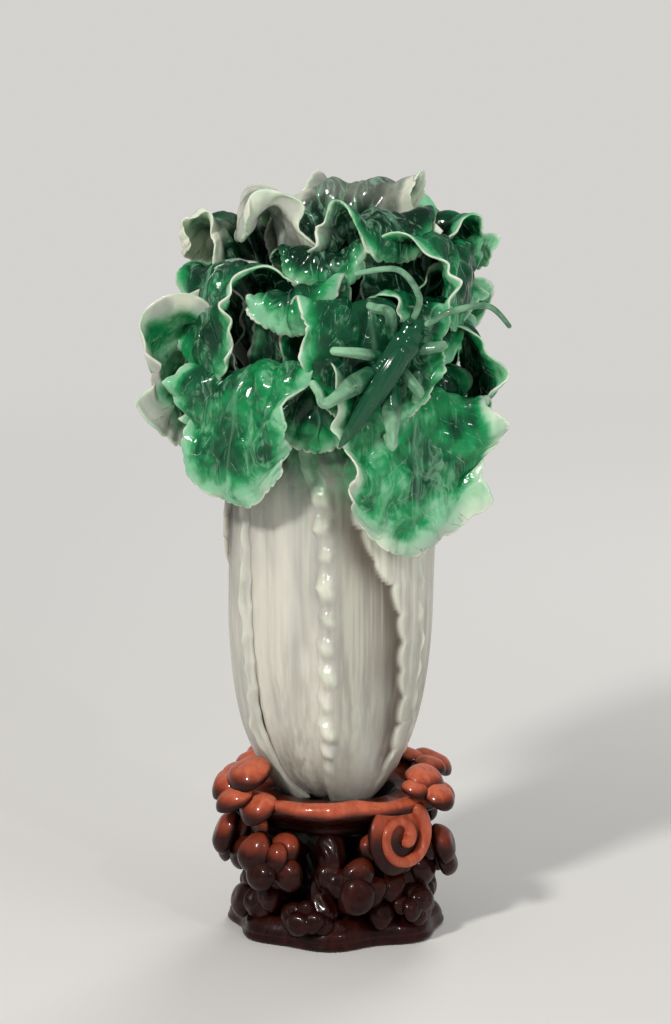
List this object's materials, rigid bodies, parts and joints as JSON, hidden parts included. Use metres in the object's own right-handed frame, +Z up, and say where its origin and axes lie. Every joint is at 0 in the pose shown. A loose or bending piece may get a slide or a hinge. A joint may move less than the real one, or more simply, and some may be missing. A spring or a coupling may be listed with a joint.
{
  "type": "jade cabbage carving",
  "caption": "Carved jade cabbage with a pale stalk, curled green leaves and a clinging katydid, lifting out of the socket of a carved wood stand.",
  "frame": {"origin": "middle of the stand's flat underside", "axes": "+Z up along the stalk, -Y to the front with the katydid, +X to the right seen from the front"},
  "size_m": [0.1112, 0.0933, 0.232],
  "materials": {
    "stalk_jade": "polished",
    "green_jade": "polished",
    "katydid_jade": "polished",
    "carved_hardwood": "satin"
  },
  "bodies": {
    "stand": {"foot": "carved_hardwood", "trunk": "carved_hardwood", "seat": "carved_hardwood", "root_1": "carved_hardwood", "root_2": "carved_hardwood", "root_3": "carved_hardwood", "root_4": "carved_hardwood", "root_5": "carved_hardwood", "root_6": "carved_hardwood", "root_7": "carved_hardwood", "head_left_top": "carved_hardwood", "head_right_top": "carved_hardwood", "head_back_right_top": "carved_hardwood", "head_back_left_top": "carved_hardwood", "head_left": "carved_hardwood", "head_front_left": "carved_hardwood", "head_front": "carved_hardwood", "head_front_low": "carved_hardwood", "head_right": "carved_hardwood", "head_right_low": "carved_hardwood", "head_back_right": "carved_hardwood", "head_back_left": "carved_hardwood", "head_scroll": "carved_hardwood"},
    "carving": {"leaf_middle_front": "green_jade", "leaf_front_right": "stalk_jade", "leaf_left": "stalk_jade", "leaf_back_right": "stalk_jade", "leaf_front_left": "stalk_jade", "leaf_right": "stalk_jade", "leaf_back_left": "stalk_jade", "leaf_middle_right": "green_jade", "leaf_middle_left": "green_jade", "leaf_middle_back_left": "green_jade", "leaf_middle_back_right": "green_jade", "leaf_middle_back": "green_jade", "leaf_heart_right": "green_jade", "leaf_heart_left": "green_jade", "leaf_heart_back": "green_jade", "core": "stalk_jade", "katydid_body": "katydid_jade", "katydid_hind_leg_left": "katydid_jade", "katydid_hind_leg_right": "katydid_jade", "katydid_middle_leg_left": "katydid_jade", "katydid_middle_leg_right": "katydid_jade", "katydid_fore_leg_left": "katydid_jade", "katydid_fore_leg_right": "katydid_jade", "katydid_antenna_left": "katydid_jade", "katydid_antenna_right": "katydid_jade"}
  },
  "joints": [
    {"name": "carving_lift", "type": "slide", "parent": "stand", "child": "carving", "axis": [0, 0, 1], "range_m": [0, 0.05]}
  ]
}
